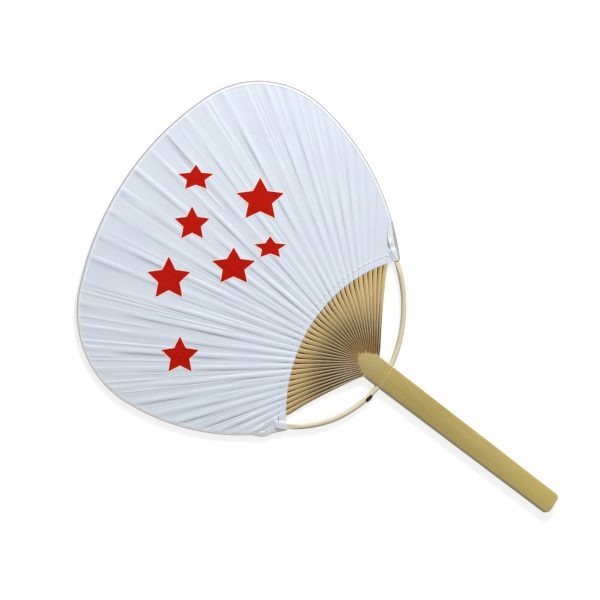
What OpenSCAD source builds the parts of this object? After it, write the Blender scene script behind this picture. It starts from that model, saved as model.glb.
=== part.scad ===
// Paper hand fan of split bamboo, lying face up.
// One slat of bamboo is the handle below its node and is split into thin ribs above it. The ribs start
// edge on, turn flat under the paper and run on to the rim. A thread woven over and under them and a bow
// bent through the node hold them spread, and a sheet of paper is pasted on each face.
// Everything is drawn with the handle's end at Y = 0 and the middle plane of the head at Z = 0, and is
// then moved so that the fan's middle is over the origin and the back of the handle lies on Z = 0.

/* [Overall] */
// Length of the fan, from the handle's end to the top of the head
fan_len = 373; // [360:1:390]
// Width of the head over its rim tape
head_w = 241; // [230:1:252]

/* [Head outline] */
// Radius of the top of the head
top_r = 200; // [188:1:226]
// Radius of the shoulders
shoulder_r = 69; // [60:1:78]
// Radius of the sides below the shoulders
side_r = 161; // [150:1:190]
// Distance between the paper's two lower corners
corner_w = 138.5; // [132:0.5:144]
// Height of the middle of the paper's lower edge above the handle's end
edge_y = 210; // [206:1:216]
// Radius of the paper's lower edge
edge_r = 103; // [95:1:112]

/* [Handle] */
// Width of the handle at its end
handle_end_w = 14.7; // [12:0.1:18]
// Width of the handle at its node
handle_node_w = 16.9; // [15.5:0.1:19]
// Thickness of the slat
slat_t = 5.6; // [5:0.1:8]
// Outer radius of the bamboo stem that the slat was cut from
stem_r = 40; // [30:1:70]
// Corners cut off the handle's end
end_cut = 2; // [1:0.1:3]
// Width of the planed edges along the handle
edge_cut = 0.7; // [0.4:0.1:1]
// Height of the node above the handle's end
node_y = 146.5; // [140:0.5:150]
// Height of the ring at the node above the skin
node_rise = 0.25; // [0.1:0.05:0.4]
// Width of the ring at the node
node_w = 0.9; // [0.6:0.1:1.5]
// Height of the tip of the unsplit tongue above the node
tongue_len = 24.5; // [22:0.5:28]
// How far the splits run down the sides of the tongue from its tip
tongue_drop = 12; // [8:0.5:13]
// Thickness of the outer layer that is left to split above the node
split_t = 3.9; // [3.4:0.1:4.4]

/* [Ribs] */
// Number of ribs, an even number
rib_count = 34; // [28:2:36]
// Width of a rib
rib_w = 2.7; // [2:0.1:2.9]
// Thickness of a rib
rib_t = 0.42; // [0.3:0.02:0.46]
// Spacing of the ribs along the paper's lower edge
rib_pitch = 3.85; // [3.6:0.05:4.1]
// Height of the point that the spread ribs aim back to, above the node
spread_h = 13.5; // [10:0.5:16]
// Length of a rib that already lies flat below the paper
flat_run = 3; // [1:0.5:6]

/* [Paper] */
// Thickness of each sheet of paper
paper_t = 0.2; // [0.15:0.05:0.3]
// Width of the rim tape on each face
tape_w = 2.6; // [2:0.1:4]
// Thickness of the rim tape
tape_t = 0.15; // [0.1:0.05:0.2]
// Thickness of the corner patches
patch_t = 0.15; // [0.1:0.05:0.2]
// Width of a corner patch, measured in from the rim
patch_w = 9; // [7:0.5:11]
// Length of a corner patch along the rim
patch_len = 31; // [24:1:38]

/* [Bow] */
// Diameter of the bow
bow_d = 3.2; // [2.6:0.1:3.4]
// Clearance of the bow in its hole through the node
bow_gap = 0.1; // [0.05:0.05:0.2]
// Height of the bow's hole above the node's ring
bow_h = 0.4; // [0:0.1:1]
// How far inside each corner of the paper the bow goes under it
bow_in = 1.9; // [1.7:0.1:2.4]
// Length of the bow beyond the thread wound round its ends
bow_tail = 0.6; // [0.4:0.1:0.8]
// Thickness of the bow's flattened ends
tip_t = 1.2; // [0.8:0.1:1.6]
// Length over which the bow's ends are pared down
tip_ramp = 9; // [6:0.5:14]
// How far the scar swells out of the bow
scar_rise = 0.7; // [0.3:0.1:1.2]
// Length of the scar
scar_len = 5; // [4:0.5:7]
// Distance of the scar from the handle's middle, along the bow
scar_run = 18.5; // [14:0.5:30]

/* [Thread] */
// Diameter of the thread
thread_d = 0.4; // [0.3:0.05:0.5]
// Distance of the woven rows inside the paper's lower edge
weave_in = 5.2; // [4:0.1:6]
// Clearance between the two woven rows
row_gap = 0.1; // [0.05:0.05:0.3]
// Turns of thread round each end of the bow
wrap_turns = 3; // [2:1:4]

/* [Stars] */
// Thickness of the ink
ink_t = 0.05; // [0.03:0.01:0.08]
// Turn of the stars from the handle's line, in degrees
star_turn = -54.5; // [-90:0.5:90]
// Share of a star's radius at its inner corners
star_waist = 0.5; // [0.38:0.01:0.6]

/* [Hidden] */
$fn = 96;
fine = 256;

// Each star: across from the middle and down from the top of the head, half its width and half its height
STARS = [[28.9, 40.4, 13.1, 8.8],
         [43.6, 85.9, 17.7, 14.8],
         [2.7, 55.9, 13.0, 11.6],
         [-36.4, 63.6, 15.9, 14.8],
         [-3.3, 96.2, 16.1, 12.8],
         [22.0, 110.0, 12.0, 7.5],
         [-73.2, 99.5, 13.9, 12.7]];

// The head's outline is three tangent arcs on each side, and the paper's lower edge is a fourth
top_c = [0, fan_len - top_r];
shoulder_x = head_w / 2 - shoulder_r;
shoulder_c = top_c + [shoulder_x, sqrt(pow(top_r - shoulder_r, 2) - pow(shoulder_x, 2))];
edge_c = [0, edge_y - edge_r];
corner = edge_c + [corner_w / 2, sqrt(pow(edge_r, 2) - pow(corner_w / 2, 2))];
side_c = meet(shoulder_c, side_r - shoulder_r, corner, side_r);
arc_steps = 24;
past_corner = 3;

// The bow is a circle through its hole at the node and a point of the lower edge by each corner
bow_y = node_y + bow_h;
bow_x = corner_w / 2 - bow_in;
bow_sag = edge_c[1] + sqrt(pow(edge_r, 2) - pow(bow_x, 2)) - bow_y;
bow_r = (pow(bow_x, 2) + pow(bow_sag, 2)) / (2 * bow_sag);
bow_c = [0, bow_y + bow_r];
bow_edge_a = asin(bow_x / bow_r);
bow_sides = 24;
bow_step = 3;
tip_lead = 0.5;
scar_a = degrees(scar_run, bow_r);
scar_half_a = degrees(scar_len / 2, bow_r);
bow_rise = pow(handle_node_w / 2, 2) / (2 * bow_r);

// The ribs
mid_z = slat_t / 2;
slope = (handle_node_w - handle_end_w) / 2 / node_y;
tongue_y = node_y + tongue_len;
neck_w = handle_end_w + 2 * slope * (tongue_y - tongue_drop);
root_pitch = neck_w / rib_count;
root_in = 2.5;
edge_over = 1.3;
skin_over = 0.15;
spread_c = [0, node_y + spread_h];
rib_a = degrees(rib_pitch, edge_r);
rib_steps = 8;
RIBS = [for (k = [0 : rib_count - 1]) k - (rib_count - 1) / 2];
OUTER_RIBS = [for (k = RIBS) if (k > rib_count / 2 - 6) k];

// The thread lies in two rows, one each side of the weaving line
weave_r = edge_r + weave_in;
row_step = (thread_d + row_gap) / 2;
over_z = rib_t / 2 + thread_d / 2;
wrap_y = (pow(weave_r, 2) - pow(bow_r, 2) - pow(edge_c[1], 2) + pow(bow_c[1], 2))
         / 2 / (bow_c[1] - edge_c[1]);
wrap_a = acos((bow_c[1] - wrap_y) / bow_r);
wrap_x = bow_r * sin(wrap_a);
bow_end_a = wrap_a + degrees(wrap_turns / 2 * thread_d + bow_tail, bow_r);
thread_sides = 6;
over_run = 0.2;

// Room under the paper: over a rib, along the weaving line, over the thread on a rib and over the bow's ends
rib_top = rib_t / 2;
weave_top = rib_top + 0.7 * thread_d;
pad_top = rib_top + thread_d;
knot_top = tip_t / 2 + thread_d;
pad_run = 2 * over_run;
paper_reach = 20;

// Room for cutting: how tall the blocks are that areas are cut out of, and how far a cut runs past its piece
tall = 20;
run_past = 1;

function degrees(length, r) = length / r * 180 / PI;
function polar(c, r, a) = c + r * [sin(a), cos(a)];
function arc(c, r, from, to) = [for (i = [0 : arc_steps]) polar(c, r, from + (to - from) * i / arc_steps)];
function bearing(c, p) = atan2(p[0] - c[0], p[1] - c[1]);
function unit(v) = v / norm(v);
function across(v) = [v[1], -v[0]];
function smooth(s) = s * s * (3 - 2 * s);

// The left one of the two points that lie ra from a and rb from b
function meet(a, ra, b, rb) =
    let (d = norm(b - a), along = (ra * ra - rb * rb + d * d) / (2 * d), u = (b - a) / d)
    a + along * u + sqrt(ra * ra - along * along) * across(u);

// Head

// Right half of the outline from the top down to just past the corner, drawn in by an inset
function half_outline(inset) =
    concat(arc(top_c, top_r - inset, 0, bearing(top_c, shoulder_c)),
           arc(shoulder_c, shoulder_r - inset, bearing(top_c, shoulder_c), bearing(side_c, shoulder_c)),
           arc(side_c, side_r - inset, bearing(side_c, shoulder_c), bearing(side_c, corner) + past_corner));

module outline(inset) {
    half = half_outline(inset);
    polygon(concat(half, [for (i = [len(half) - 1 : -1 : 1]) [-half[i][0], half[i][1]]]));
}

// A block as tall as anything here over the head, drawn in by an inset at the rim and running on past the
// lower edge
module head_block(inset, past) {
    linear_extrude(tall) difference() {
        outline(inset);
        translate(edge_c) circle(r = edge_r - past, $fn = fine);
    }
}

// Where rib k crosses the paper's lower edge, which way it runs there and where it turns flat
function rib_at_edge(k) = polar(edge_c, edge_r, k * rib_a);
function rib_run(k) = unit(rib_at_edge(k) - spread_c);
function rib_flat(k) = rib_at_edge(k) - flat_run * rib_run(k);

// Where rib k crosses a circle of radius r round the middle of the lower edge's arc
function rib_cross(k, r) =
    let (from = rib_at_edge(k) - edge_c, along = from * rib_run(k))
    edge_c + from + (sqrt(along * along + r * r - from * from) - along) * rib_run(k);
function rib_skew(k, r) = bearing([0, 0], rib_run(k)) - bearing(edge_c, rib_cross(k, r));

// The flat stretches of the ribs, from where they turn flat to past the rim, wider by grow on each side
module rib_bars(grow, from, ribs = RIBS) {
    for (k = ribs)
        translate(rib_at_edge(k) - from * rib_run(k))
            rotate(-bearing([0, 0], rib_run(k)))
                translate([-rib_w / 2 - grow, 0])
                    square([rib_w + 2 * grow, fan_len]);
}

// What a layer looks like from outside when it is laid over everything below it: lift is the thickness
// of all the paper up to there, and it widens every ridge by as much. Only the front half is drawn.
// What is cut away under a layer runs on past the layer's borders, so that no wall is left there.
module laid(lift, inset, past = 0, ribs = RIBS, pads = RIBS) {
    intersection() {
        head_block(inset, past);
        union() {
            if (lift > 0) level(lift);
            linear_extrude(rib_top + lift) rib_bars(lift, flat_run + past, ribs);
            linear_extrude(weave_top + lift) weave_band(lift);
            linear_extrude(pad_top + lift) weave_pads(lift, pads);
            linear_extrude(knot_top + lift) bow_band(lift);
        }
    }
}

// Everything from the middle plane of the head up to a height
module level(height) {
    linear_extrude(height) square(3 * fan_len, center = true);
}

module weave_band(grow) {
    half = row_step + thread_d / 2 + grow;
    reach = wrap_x + paper_reach;
    intersection() {
        translate(edge_c) difference() {
            circle(r = weave_r + half, $fn = fine);
            circle(r = weave_r - half, $fn = fine);
        }
        translate([-reach, wrap_y - bow_d - grow]) square([2 * reach, edge_y]);
    }
}

module weave_pads(grow, ribs) {
    half = row_step + thread_d / 2 + grow;
    for (k = ribs) {
        on_rib = rib_cross(k, weave_r);
        run = rib_w / 2 / cos(rib_skew(k, weave_r)) + pad_run + grow;
        translate(on_rib) rotate(-bearing(edge_c, on_rib))
            translate([-run, -half]) square([2 * run, 2 * half]);
    }
}

module bow_band(grow) {
    half = bow_d / 2 + thread_d + grow;
    end_a = bow_end_a + degrees(grow, bow_r);
    for (s = [-1, 1])
        intersection() {
            translate(bow_c) difference() {
                circle(r = bow_r + half, $fn = fine);
                circle(r = bow_r - half, $fn = fine);
            }
            translate(bow_c) rotate(s * end_a) translate([s > 0 ? -bow_r : 0, -2 * bow_r])
                square([bow_r, 2 * bow_r]);
            translate([s > 0 ? 0 : -head_w, 0]) square([head_w, fan_len]);
        }
}

module both_faces() {
    children();
    mirror([0, 0, 1]) children();
}

// Moves a piece from the drawing's frame to where the fan lies
module place() {
    translate([0, -fan_len / 2, mid_z]) children();
}

// Handle and ribs

module slat_outline() {
    half = neck_w / 2;
    wide = half + edge_over;
    tongue = [for (i = [0 : arc_steps]) let (x = wide * (1 - 2 * i / arc_steps)) [x, tongue_edge(x)]];
    end = handle_end_w / 2 - end_cut;
    polygon(concat([[-end, 0], [end, 0], [end + 2 * end_cut, 2 * end_cut]], tongue,
                   [[-end - 2 * end_cut, 2 * end_cut]]));
}

function tongue_edge(x) = tongue_y - tongue_drop * pow(x / (neck_w / 2), 2);
function skin_z(x) = mid_z - stem_r + sqrt(pow(stem_r, 2) - pow(x, 2));

// Everything to the left of the slat's right side, with both of its edges planed off
module slat_side() {
    low = -mid_z;
    high = skin_z(handle_end_w / 2);
    translate([handle_end_w / 2, 0, 0]) rotate([0, 0, -atan(slope)]) rotate([90, 0, 180])
        mirror([1, 0, 0]) translate([0, 0, -run_past]) linear_extrude(tongue_y + 2 * run_past)
            polygon([[-tall, low - run_past], [-edge_cut - run_past, low - run_past], [0, low + edge_cut],
                     [0, high - edge_cut], [-tall, high - edge_cut + tall]]);
}

module stem(r, from, to) {
    translate([0, from, mid_z - stem_r]) rotate([-90, 0, 0]) cylinder(r = r, h = to - from, $fn = fine);
}

module slat() {
    intersection() {
        translate([0, 0, -mid_z]) linear_extrude(2 * slat_t) slat_outline();
        slat_side();
        mirror([1, 0, 0]) slat_side();
        union() {
            stem(stem_r, -run_past, tongue_y + run_past);
            stem(stem_r + node_rise, node_y - node_w / 2, node_y + node_w / 2);
        }
    }
}

// The inner layer is pared away behind the tongue, so that only the outer layer is split
module paring() {
    from = node_y + bow_d;
    to = tongue_y - tongue_drop;
    deep = slat_t / 2 - split_t;
    translate([-tall, 0, 0]) rotate([90, 0, 90]) linear_extrude(2 * tall)
        polygon([[from, -mid_z], [to, deep], [tongue_y + run_past, deep],
                 [tongue_y + run_past, -mid_z - run_past], [from, -mid_z - run_past]]);
}

// A straight hole, wide enough for the rise of the bow from the middle of the slat to its sides
module bow_hole() {
    translate([-handle_node_w, bow_y + bow_rise / 2, 0]) rotate([0, 90, 0])
        cylinder(d = bow_d + bow_rise + 2 * bow_gap, h = 2 * handle_node_w);
}

// Corners of rib k at one station: at a point p, heading along u, turned by a from edge on to flat
function rib_ring(p, u, z, a) =
    let (n = across(u), wide = [n[0] * sin(a), n[1] * sin(a), cos(a)],
         thin = [n[0] * cos(a), n[1] * cos(a), -sin(a)])
    [for (c = [[-1, -1], [1, -1], [1, 1], [-1, 1]])
        [p[0], p[1], z] + c[0] * rib_w / 2 * wide + c[1] * rib_t / 2 * thin];

// A rib from inside the tongue to where it lies flat, along a curve that leaves the root straight and
// ends in line with the rib's own flat stretch
module rib_twist(k) {
    root = [k * root_pitch, tongue_edge(k * root_pitch)];
    end = rib_flat(k);
    bend = end - norm(end - root) / 2 * rib_run(k);
    start_u = unit(bend - root);
    root_z = skin_z(k * root_pitch) - skin_over - rib_w / 2;
    rings = concat([rib_ring(root - root_in * start_u, start_u, root_z, 0)],
                   [for (i = [0 : rib_steps])
                       let (s = i / rib_steps,
                            p = (1 - s) * (1 - s) * root + 2 * s * (1 - s) * bend + s * s * end,
                            u = unit((1 - s) * (bend - root) + s * (end - bend)))
                       rib_ring(p, u, root_z * (1 - smooth(s)), (k < 0 ? -90 : 90) * s)]);
    tube(rings);
}

// A closed solid through rings of as many points each, in order
module tube(rings) {
    n = len(rings[0]);
    last = (len(rings) - 1) * n;
    polyhedron(points = [for (ring = rings) for (p = ring) p],
               faces = concat([[for (j = [0 : n - 1]) j]],
                              [for (i = [0 : len(rings) - 2]) for (j = [0 : n - 1])
                                  [i * n + j, (i + 1) * n + j, i * n + (j + 1) % n]],
                              [for (i = [0 : len(rings) - 2]) for (j = [0 : n - 1])
                                  [i * n + (j + 1) % n, (i + 1) * n + j, (i + 1) * n + (j + 1) % n]],
                              [[for (j = [n - 1 : -1 : 0]) last + j]]));
}

module handle_and_ribs() {
    color("#B5A263") place() {
        difference() {
            slat();
            paring();
            bow_hole();
        }
        for (k = RIBS) rib_twist(k);
        translate([0, 0, -rib_t / 2]) linear_extrude(rib_t) intersection() {
            rib_bars(0, flat_run);
            outline(tape_t);
        }
    }
}

// Bow

// Cross-section of the bow where it is pared flat, thicker by grow all round
module tip_section(grow) {
    intersection() {
        circle(d = bow_d + 2 * grow);
        square([bow_d + 2 * grow, tip_t + 2 * grow], center = true);
    }
}

// Turns a piece drawn at the lowest point of the bow to an angle along it
module along_bow(a) {
    translate(bow_c) rotate([0, 0, a]) translate([0, -bow_r, 0]) children();
}

// Half the bow's thickness at an angle along it: round up to the ramp, then pared down to its flat end
function bow_half(a) =
    let (left = (bow_edge_a - abs(a)) * bow_r * PI / 180 - tip_lead)
    tip_t / 2 + (bow_d - tip_t) / 2 * max(0, min(1, left / tip_ramp));

// How far the bow swells outwards at an angle along it
function scar_out(a) =
    let (share = (a + scar_a) / scar_half_a)
    abs(share) < 1 ? scar_rise * (1 - share * share) : 0;

function bow_ring(a) =
    [for (i = [0 : bow_sides - 1])
        let (t = i * 360 / bow_sides, top = bow_half(a),
             out = bow_d / 2 * cos(t) + scar_out(a) * max(0, cos(t)))
        [bow_c[0] + (bow_r + out) * sin(a), bow_c[1] - (bow_r + out) * cos(a),
         max(-top, min(top, bow_d / 2 * sin(t)))]];

// Angles from one to another, without the last, no more than a step apart
function stations(from, to, step) =
    let (n = ceil((to - from) / step))
    [for (i = [0 : n - 1]) from + (to - from) * i / n];

module bow() {
    angles = concat(stations(-bow_end_a, -scar_a - scar_half_a, bow_step),
                    stations(-scar_a - scar_half_a, -scar_a + scar_half_a, scar_half_a / 3),
                    stations(-scar_a + scar_half_a, bow_end_a, bow_step), [bow_end_a]);
    color("#DDD3AE") place() tube([for (a = angles) bow_ring(a)]);
}

// Weaving thread

function thread_ring(p, u) =
    let (n = [-u[1], u[0], 0] / norm([u[0], u[1]]), b = cross(u, n))
    [for (i = [0 : thread_sides - 1])
        let (a = i * 360 / thread_sides)
        p + thread_d / 2 * (n * cos(a) + b * sin(a))];

// One row: over the ribs of one parity and under the others, from the left wrap to the right one
module thread_row(r, side) {
    mid = [for (i = [0 : rib_count - 1])
               let (skew = rib_skew(RIBS[i], r), a = bearing(edge_c, rib_cross(RIBS[i], r)),
                    half = rib_w / 2 / cos(skew) + thread_d / 2 * abs(tan(skew)) + over_run,
                    z = (i % 2 == side ? 1 : -1) * over_z)
               for (s = [-1, 1])
                   let (p = polar(edge_c, r, a + s * degrees(half, r)))
                   [p[0], p[1], z]];
    tie = polar(edge_c, r, bearing(edge_c, [wrap_x - bow_d / 2 - 1.5 * thread_d, wrap_y]));
    path = concat([[-tie[0], tie[1], 0]], mid, [[tie[0], tie[1], 0]]);
    last = len(path) - 1;
    tube([for (i = [0 : last])
             thread_ring(path[i], unit(path[min(i + 1, last)] - path[max(i - 1, 0)]))]);
}

module weaving_thread() {
    color("#E6E2D6") place() {
        thread_row(weave_r + row_step, 0);
        thread_row(weave_r - row_step, 1);
        for (s = [0, 1]) mirror([s, 0, 0]) for (i = [0 : wrap_turns - 1])
            along_bow(wrap_a + degrees((i - (wrap_turns - 1) / 2) * thread_d, bow_r))
                rotate([90, 0, 90]) translate([0, 0, -thread_d / 2]) linear_extrude(thread_d) difference() {
                    tip_section(thread_d);
                    tip_section(0);
                }
    }
}

// Paper

module sheet() {
    difference() {
        laid(paper_t, tape_t);
        laid(0, -run_past, run_past);
    }
}

module front_paper() {
    color("#DEE4EE") place() sheet();
}

module back_paper() {
    color("#D8DEE8") place() mirror([0, 0, 1]) sheet();
}

module rim_tape() {
    color("#EDF0F4") place() both_faces() difference() {
        laid(paper_t + tape_t, 0, 0, RIBS, []);
        laid(paper_t, tape_t, run_past, RIBS, []);
        linear_extrude(tall) outline(tape_w);
    }
}

// The stretch of the head that a corner patch covers, from the corner up along the rim
module patch_area() {
    a = bearing(side_c, corner);
    up = polar(side_c, side_r, a - degrees(patch_len - patch_w, side_r));
    hull() {
        translate(corner) circle(r = patch_w);
        translate(up) circle(r = patch_w);
    }
}

module patch() {
    both_faces() intersection() {
        linear_extrude(tall) patch_area();
        difference() {
            laid(paper_t + tape_t + patch_t, -patch_t, 0, OUTER_RIBS, OUTER_RIBS);
            laid(paper_t + tape_t, 0, run_past, OUTER_RIBS, OUTER_RIBS);
        }
    }
}

module left_corner_patch() {
    color("#E9EDF3") place() mirror([1, 0, 0]) patch();
}

module right_corner_patch() {
    color("#E9EDF3") place() patch();
}

// Stars

module star(across_r, up_r) {
    polygon([for (i = [0 : 9])
        let (share = i % 2 == 0 ? 1 : star_waist)
        share * [across_r * sin(36 * i), up_r * cos(36 * i)]]);
}

module printed_stars() {
    color("#C2170B") place() intersection() {
        linear_extrude(tall)
            for (s = STARS) translate([s[0], fan_len - s[1]]) rotate(star_turn) star(s[2], s[3]);
        difference() {
            laid(paper_t + ink_t, 0);
            laid(paper_t, 0);
        }
    }
}

handle_and_ribs();
bow();
weaving_thread();
front_paper();
back_paper();
rim_tape();
left_corner_patch();
right_corner_patch();
printed_stars();
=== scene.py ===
# %% [markdown]
# # A paddle fan of split bamboo and white paper
#
# The fan is one slat of bamboo. Its lower half is the handle, and its upper half is split into thin ribs that
# spread like a hand. Paper is pasted on both faces of the ribs, a strip of paper is folded over the rim, and
# a bent stick of bamboo, the bow, keeps the ribs spread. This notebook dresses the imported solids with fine
# surfaces, one piece at a time, and every surface is a formula worked out on a whole grid of points.

# %% Load the frame
import math

import bpy
import numpy as np
from mathutils import Matrix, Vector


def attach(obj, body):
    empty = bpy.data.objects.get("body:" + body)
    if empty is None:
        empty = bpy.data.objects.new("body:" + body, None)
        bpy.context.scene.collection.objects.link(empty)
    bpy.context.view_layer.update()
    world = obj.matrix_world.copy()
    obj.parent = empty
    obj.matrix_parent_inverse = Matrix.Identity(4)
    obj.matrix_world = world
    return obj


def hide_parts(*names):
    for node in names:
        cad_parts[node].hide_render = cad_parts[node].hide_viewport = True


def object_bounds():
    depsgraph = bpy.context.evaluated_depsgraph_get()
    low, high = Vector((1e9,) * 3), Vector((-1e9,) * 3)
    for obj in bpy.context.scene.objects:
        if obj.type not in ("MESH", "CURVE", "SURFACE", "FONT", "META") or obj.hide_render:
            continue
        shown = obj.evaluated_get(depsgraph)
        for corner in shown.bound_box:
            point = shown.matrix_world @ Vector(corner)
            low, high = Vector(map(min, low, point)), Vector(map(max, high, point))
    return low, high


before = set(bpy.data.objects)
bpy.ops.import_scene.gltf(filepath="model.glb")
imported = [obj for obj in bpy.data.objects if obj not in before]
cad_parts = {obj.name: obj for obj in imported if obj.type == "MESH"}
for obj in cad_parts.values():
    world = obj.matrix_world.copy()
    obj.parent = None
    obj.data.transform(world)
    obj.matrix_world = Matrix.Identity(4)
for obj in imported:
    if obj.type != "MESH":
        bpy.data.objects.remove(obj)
cad_low, cad_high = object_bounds()
MM = 0.001
FAN_LEN = (cad_high.y - cad_low.y) / MM
HEAD_W = (cad_high.x - cad_low.x) / MM
print(f"fan {FAN_LEN:.1f} mm long and {HEAD_W:.1f} mm wide, nodes: {', '.join(sorted(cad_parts))}")

# %% [markdown]
# ## The drawing's frame
#
# It is easiest to think of the fan in millimetres, with the handle's end at y = 0 and the middle plane of
# the head at z = 0. One function takes such points to the shared frame, where the fan's middle is over the
# origin and the back of the handle lies on the floor.

# %% Sizes that the solids were drawn to, in millimetres
TOP_R, SHOULDER_R, SIDE_R = 200.0, 69.0, 161.0
CORNER_W, EDGE_Y, EDGE_R = 138.5, 210.0, 103.0
HANDLE_END_W, HANDLE_NODE_W, SLAT_T, STEM_R = 14.7, 16.9, 5.6, 40.0
END_CUT, EDGE_CUT = 2.0, 0.7
NODE_Y, TONGUE_LEN, TONGUE_DROP, SPLIT_T = 146.5, 24.5, 12.0, 3.9
RIB_COUNT, RIB_W, RIB_T, RIB_PITCH = 34, 2.7, 0.42, 3.85
SPREAD_H, FLAT_RUN = 13.5, 3.0
PAPER_T, TAPE_T, TAPE_W = 0.2, 0.15, 2.6
BOW_D, BOW_H, BOW_IN, BOW_TIP_T, BOW_TIP_RAMP = 3.2, 0.4, 1.9, 1.2, 9.0
SCAR_RUN, SCAR_LEN, SCAR_RISE = 18.5, 5.0, 0.7
WEAVE_R = EDGE_R + 5.2
MID_Z = SLAT_T / 2


def to_frame(points):
    """Drawing millimetres to the shared frame: y less half the length, z plus half the slat, in metres."""
    return (np.asarray(points, float) + [0, -FAN_LEN / 2, MID_Z]) * MM


# %% [markdown]
# ## Plane geometry
#
# A bearing is an angle measured from the fan's axis towards the right, so a point at a bearing is its centre
# plus the radius times (sine, cosine). The head's outline is three tangent arcs on each side, and the lower
# edge of the paper is a fourth circle. The ribs are straight lines that all aim back to one point.

# %% Points, bearings and circles
def polar(centre, r, a):
    """Centre plus r times (sin a, cos a), for whole arrays of r and a."""
    r, a = np.broadcast_arrays(r, a)
    return np.asarray(centre) + np.stack([r * np.sin(a), r * np.cos(a)], -1)


def bearing(v):
    """Angle of a vector from the fan's axis, towards the right."""
    return np.arctan2(v[..., 0], v[..., 1])


def unit(v):
    """The vector divided by its own length."""
    return v / np.linalg.norm(v, axis=-1, keepdims=True)


def across(v):
    """The vector turned a quarter turn to its right."""
    return np.stack([v[..., 1], -v[..., 0]], -1)


def smooth(s):
    """Three s squared less two s cubed, from 0 to 1 and flat at both ends."""
    s = np.clip(s, 0, 1)
    return s * s * (3 - 2 * s)


top_c = np.array([0, FAN_LEN - TOP_R])
shoulder_x = HEAD_W / 2 - SHOULDER_R
shoulder_c = top_c + [shoulder_x, math.sqrt((TOP_R - SHOULDER_R) ** 2 - shoulder_x ** 2)]
edge_c = np.array([0, EDGE_Y - EDGE_R])
corner = edge_c + [CORNER_W / 2, math.sqrt(EDGE_R ** 2 - (CORNER_W / 2) ** 2)]


def meet(a, ra, b, rb):
    """The left one of the two points that lie ra from a and rb from b."""
    d = np.linalg.norm(b - a)
    along = (ra ** 2 - rb ** 2 + d ** 2) / (2 * d)
    u = (b - a) / d
    return a + along * u + math.sqrt(ra ** 2 - along ** 2) * across(u)


side_c = meet(shoulder_c, SIDE_R - SHOULDER_R, corner, SIDE_R)
TOP_END, SHOULDER_END = bearing(shoulder_c - top_c), bearing(shoulder_c - side_c)
CORNER_A = bearing(corner - side_c)


def rim_gap(p):
    """Distance outside the head's outline, negative inside: from the shoulder's circle in the shoulder's
    sector, and else the larger of the distances from the top's and the side's circles."""
    q = np.stack([np.abs(p[..., 0]), p[..., 1]], -1)
    from_top = np.linalg.norm(q - top_c, axis=-1) - TOP_R
    from_side = np.linalg.norm(q - side_c, axis=-1) - SIDE_R
    from_shoulder = np.linalg.norm(q - shoulder_c, axis=-1) - SHOULDER_R
    a = bearing(q - shoulder_c)
    return np.where((a > TOP_END) & (a < SHOULDER_END), from_shoulder, np.maximum(from_top, from_side))


print(f"corner of the paper at {corner.round(1)}, shoulder's centre at {shoulder_c.round(1)}")

# %% The ribs as lines
rng = np.random.default_rng(12)
RIBS = np.arange(RIB_COUNT) - (RIB_COUNT - 1) / 2
spread_c = np.array([0, NODE_Y + SPREAD_H])
LEFT_LOOSE, RIGHT_LOOSE = 1.02, 1.03
rib_from = polar(edge_c, EDGE_R, RIBS * RIB_PITCH * np.where(RIBS > 0, RIGHT_LOOSE, LEFT_LOOSE) / EDGE_R)
RIB_WANDER = math.radians(0.22)
rib_bearing = bearing(rib_from - spread_c) + rng.normal(0, RIB_WANDER, RIB_COUNT)
rib_u = polar([0, 0], 1.0, rib_bearing)
rib_n = across(rib_u)


def line_to_circle(origin, u, centre, r):
    """How far along unit u from origin a line leaves a circle: less the dot of u with the way from the
    centre, plus the root of its square and r squared less that way squared."""
    way = origin - centre
    dot = (way * u).sum(-1)
    return -dot + np.sqrt(dot ** 2 + r ** 2 - (way ** 2).sum(-1))


def line_to_rim(origin, u, inset):
    """How far along unit u from origin the outline drawn in by inset lies, by halving 40 times."""
    low, high = np.zeros(len(origin)), np.full(len(origin), 1.2 * HEAD_W)
    for _ in range(40):
        mid = (low + high) / 2
        inside = rim_gap(origin + mid[:, None] * u) < -inset
        low, high = np.where(inside, mid, low), np.where(inside, high, mid)
    return low


RIB_SHORT = 1.2
rib_len = line_to_rim(rib_from, rib_u, RIB_SHORT)
print(f"ribs run {rib_len.min():.0f} to {rib_len.max():.0f} mm past the paper's lower edge")

# %% [markdown]
# ## Meshes from grids
# Nearly every piece is a grid of points: rows along it and columns across it. A modifier could thicken a
# plain sheet, but a second grid under it gives its real thickness and its own shape at the border. So a
# sheet is two grids, its face and its back, joined by a wall round the border, and a stick is one grid
# closed across. Every face looks outwards.

# %% From grids to meshes
def grid_faces(rows, cols, wrap=False):
    """Quads of a grid stored row by row: (i, j), (i, j+1), (i+1, j+1), (i+1, j), closed across if wrap. They
    look the way of the columns crossed with the way of the rows."""
    i, j = np.meshgrid(np.arange(rows - 1), np.arange(cols if wrap else cols - 1), indexing="ij")
    k = (j + 1) % cols
    return np.stack([i * cols + j, i * cols + k, (i + 1) * cols + k, (i + 1) * cols + j], -1).reshape(-1, 4)


def rod_faces(rows, cols):
    """Faces of a stick: its grid, closed across, and one face at each end."""
    ring = np.arange(cols)
    return [grid_faces(rows, cols, wrap=True), np.stack([ring[::-1], (rows - 1) * cols + ring])]


def turned(faces):
    """The same faces, looking the other way."""
    return [f[:, ::-1] for f in faces]


def joined(parts):
    """Several meshes as one. parts are pairs of points and faces, and each one's faces count on from the
    points before it."""
    points, faces, start = [], [], 0
    for own_points, own_faces in parts:
        points.append(own_points.reshape(-1, 3))
        faces += [f + start for f in own_faces]
        start += len(points[-1])
    return np.concatenate(points), faces


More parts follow.
